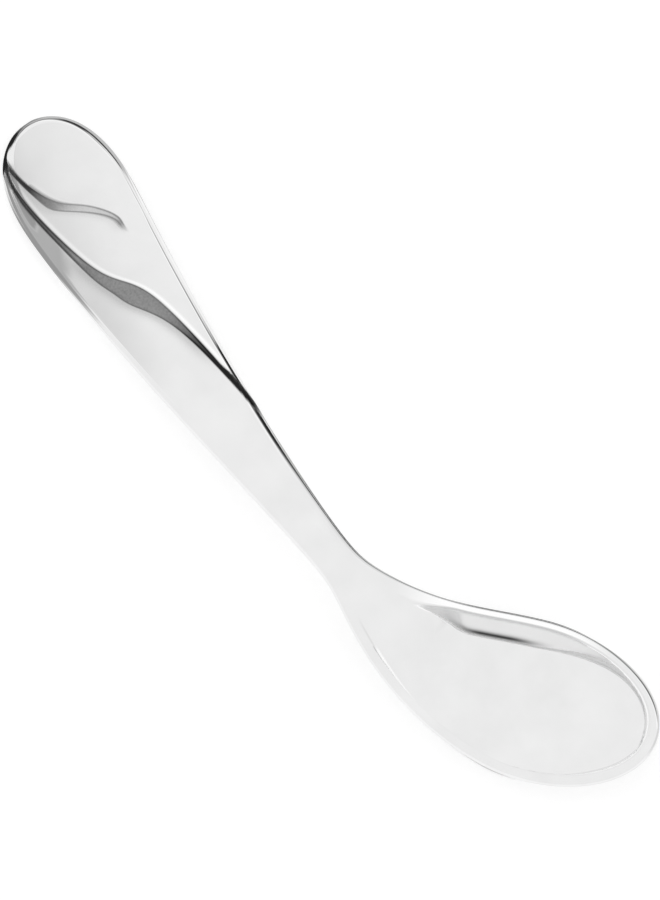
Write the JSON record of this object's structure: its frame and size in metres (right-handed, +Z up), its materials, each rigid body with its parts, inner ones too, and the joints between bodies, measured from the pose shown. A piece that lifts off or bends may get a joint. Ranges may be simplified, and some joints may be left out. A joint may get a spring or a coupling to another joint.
{
  "type": "angled feeding spoon",
  "caption": "Small feeding spoon in polished steel, with a deep bowl turned to the left of a tapered handle that carries a folded leaf relief.",
  "frame": {"origin": "middle of the bounding box in plan, on the table that the spoon rests on", "axes": "+X along the handle from its end towards the bowl, +Y to the side that the bowl turns to, +Z up, with the hollow of the bowl facing up"},
  "size_m": [0.131, 0.0368, 0.0096],
  "materials": {
    "steel": "stainless steel, formed and mirror polished"
  },
  "bodies": {
    "root": {"spoon": "steel"}
  },
  "joints": []
}
